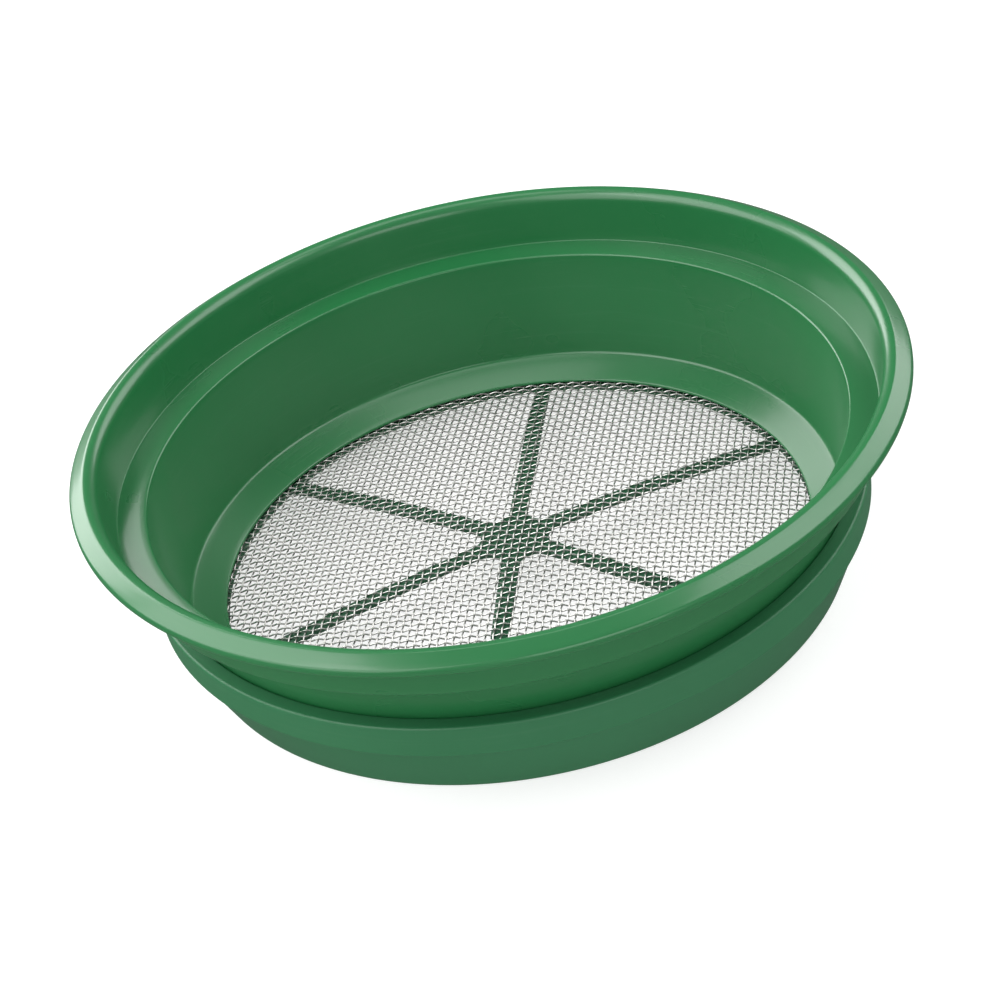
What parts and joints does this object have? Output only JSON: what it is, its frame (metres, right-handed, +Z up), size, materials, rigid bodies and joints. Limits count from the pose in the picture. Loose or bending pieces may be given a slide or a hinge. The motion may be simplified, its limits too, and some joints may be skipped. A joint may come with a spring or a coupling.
{
  "type": "gold classifier sieve pan",
  "caption": "Stackable gold-panning classifier: round plastic sifting pan with a rolled rim, stacking step, domed woven wire mesh bottom on a spoked support, and a skirted base ring.",
  "frame": {"origin": "centre of the circle of the base ring's bottom edge, on the surface the pan stands on", "axes": "+Z up along the pan's axis, out of the bowl; +X and +Y in the plane of the bottom edge, with the first spoke 17 degrees from +X"},
  "size_m": [0.3366, 0.3366, 0.0864],
  "materials": {
    "green_plastic_bowl": "satin-gloss moulded polypropylene",
    "green_plastic_base": "satin-gloss moulded polypropylene",
    "green_plastic_support": "satin moulded polypropylene",
    "steel_wire": "bright drawn stainless wire"
  },
  "bodies": {
    "root": {"bowl": "green_plastic_bowl", "base_ring": "green_plastic_base", "mesh_support": "green_plastic_support", "warp_wires": "steel_wire", "weft_wires": "steel_wire"}
  },
  "joints": []
}
